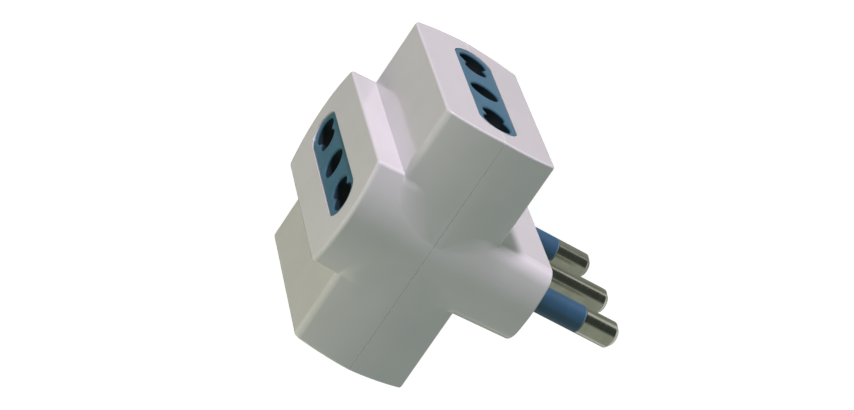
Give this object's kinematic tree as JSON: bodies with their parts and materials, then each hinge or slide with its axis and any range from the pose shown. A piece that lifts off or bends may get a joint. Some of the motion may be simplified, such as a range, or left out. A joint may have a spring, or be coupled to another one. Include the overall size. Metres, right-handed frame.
{
  "type": "multi socket adapter",
  "caption": "Cross-shaped socket adapter: an in-line plug at the back, and sockets on the front block and on both arm ends.",
  "frame": {"origin": "centre of the middle pin at the plug face", "axes": "+Y along the plug's axis, out of the plug face towards the pins' tips; +Z along the row of pins; the arms lie along X"},
  "size_m": [0.0486, 0.0574, 0.0426],
  "materials": {
    "housing": "glossy white moulding",
    "carrier": "plain white moulding",
    "insert": "satin blue moulding",
    "sleeve": "satin blue sleeve",
    "pin": "nickel-plated",
    "contact": "bare strip",
    "eyelet": "bare",
    "screw": "zinc-plated"
  },
  "bodies": {
    "root": {"front_shell": "housing", "rear_shell": "housing", "pin_carrier": "carrier", "front_insert": "insert", "left_insert": "insert", "right_insert": "insert", "live_pin": "pin", "neutral_pin": "pin", "earth_pin": "pin", "live_sleeve": "sleeve", "neutral_sleeve": "sleeve", "live_busbar": "contact", "neutral_busbar": "contact", "earth_busbar": "contact", "live_front_clip": "contact", "neutral_front_clip": "contact", "earth_front_clip": "contact", "live_left_clip": "contact", "neutral_left_clip": "contact", "earth_left_clip": "contact", "live_right_clip": "contact", "neutral_right_clip": "contact", "earth_right_clip": "contact", "live_left_eyelet": "eyelet", "neutral_left_eyelet": "eyelet", "earth_left_eyelet": "eyelet", "live_right_eyelet": "eyelet", "neutral_right_eyelet": "eyelet", "earth_right_eyelet": "eyelet", "left_screw": "screw", "right_screw": "screw"}
  },
  "joints": []
}
